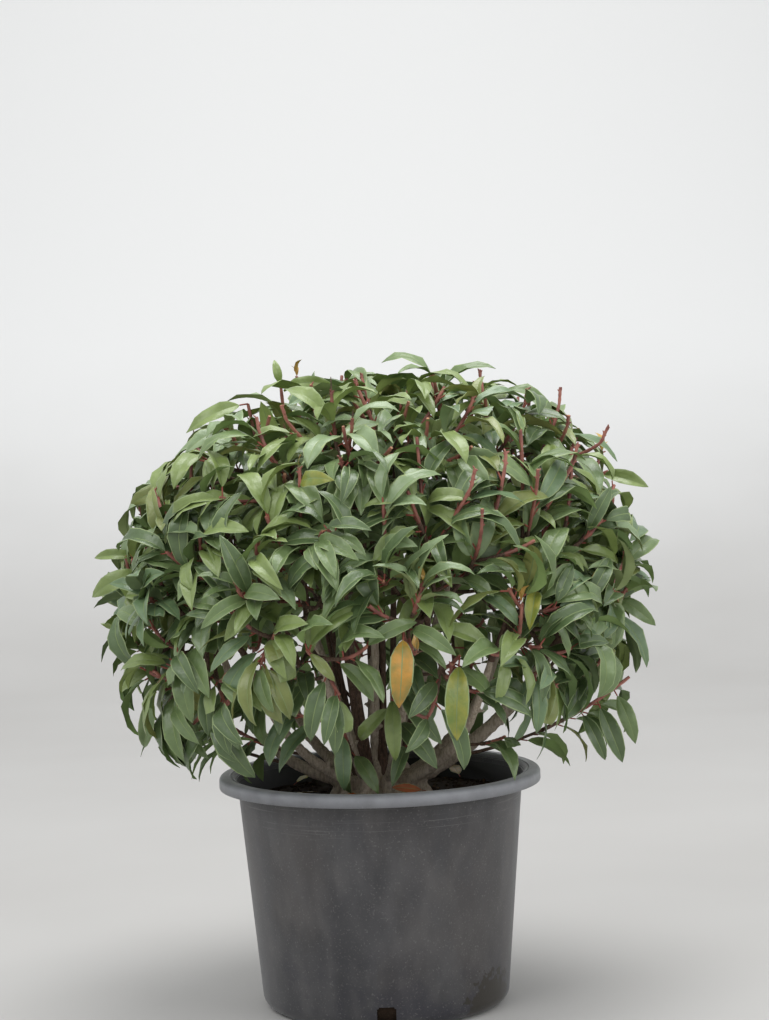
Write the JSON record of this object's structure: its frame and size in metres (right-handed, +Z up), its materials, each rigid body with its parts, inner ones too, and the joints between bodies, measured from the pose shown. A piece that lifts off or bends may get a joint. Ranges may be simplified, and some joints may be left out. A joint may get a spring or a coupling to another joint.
{
  "type": "potted portuguese laurel",
  "caption": "Many-stemmed evergreen shrub with a dense domed crown of narrow leaves, in a round tapered nursery pot that stands on its flat underside.",
  "frame": {"origin": "centre of the pot's flat underside", "axes": "+Z up, +X to the right and +Y away as the plant is seen from its front"},
  "size_m": [0.6337, 0.6173, 0.7198],
  "materials": {
    "pot": "dusty, lightly scuffed moulded plastic",
    "compost": "crumbly, damp",
    "bark": "rough grey-brown bark",
    "leaves": "glossy above, matte below"
  },
  "bodies": {
    "root": {"pot": "pot", "soil": "compost", "trunk": "bark", "bough_right": "bark", "bough_right_back": "bark", "bough_back_right": "bark", "bough_back_left": "bark", "bough_left_back": "bark", "bough_left": "bark", "bough_left_front": "bark", "bough_front_left": "bark", "bough_front_right": "bark", "bough_right_front": "bark", "bough_top_right": "bark", "bough_top_back": "bark", "bough_top_left": "bark", "bough_top_front": "bark", "foliage_right": "leaves", "foliage_right_back": "leaves", "foliage_back_right": "leaves", "foliage_back_left": "leaves", "foliage_left_back": "leaves", "foliage_left": "leaves", "foliage_left_front": "leaves", "foliage_front_left": "leaves", "foliage_front_right": "leaves", "foliage_right_front": "leaves", "foliage_top_right": "leaves", "foliage_top_back": "leaves", "foliage_top_left": "leaves", "foliage_top_front": "leaves"}
  },
  "joints": []
}
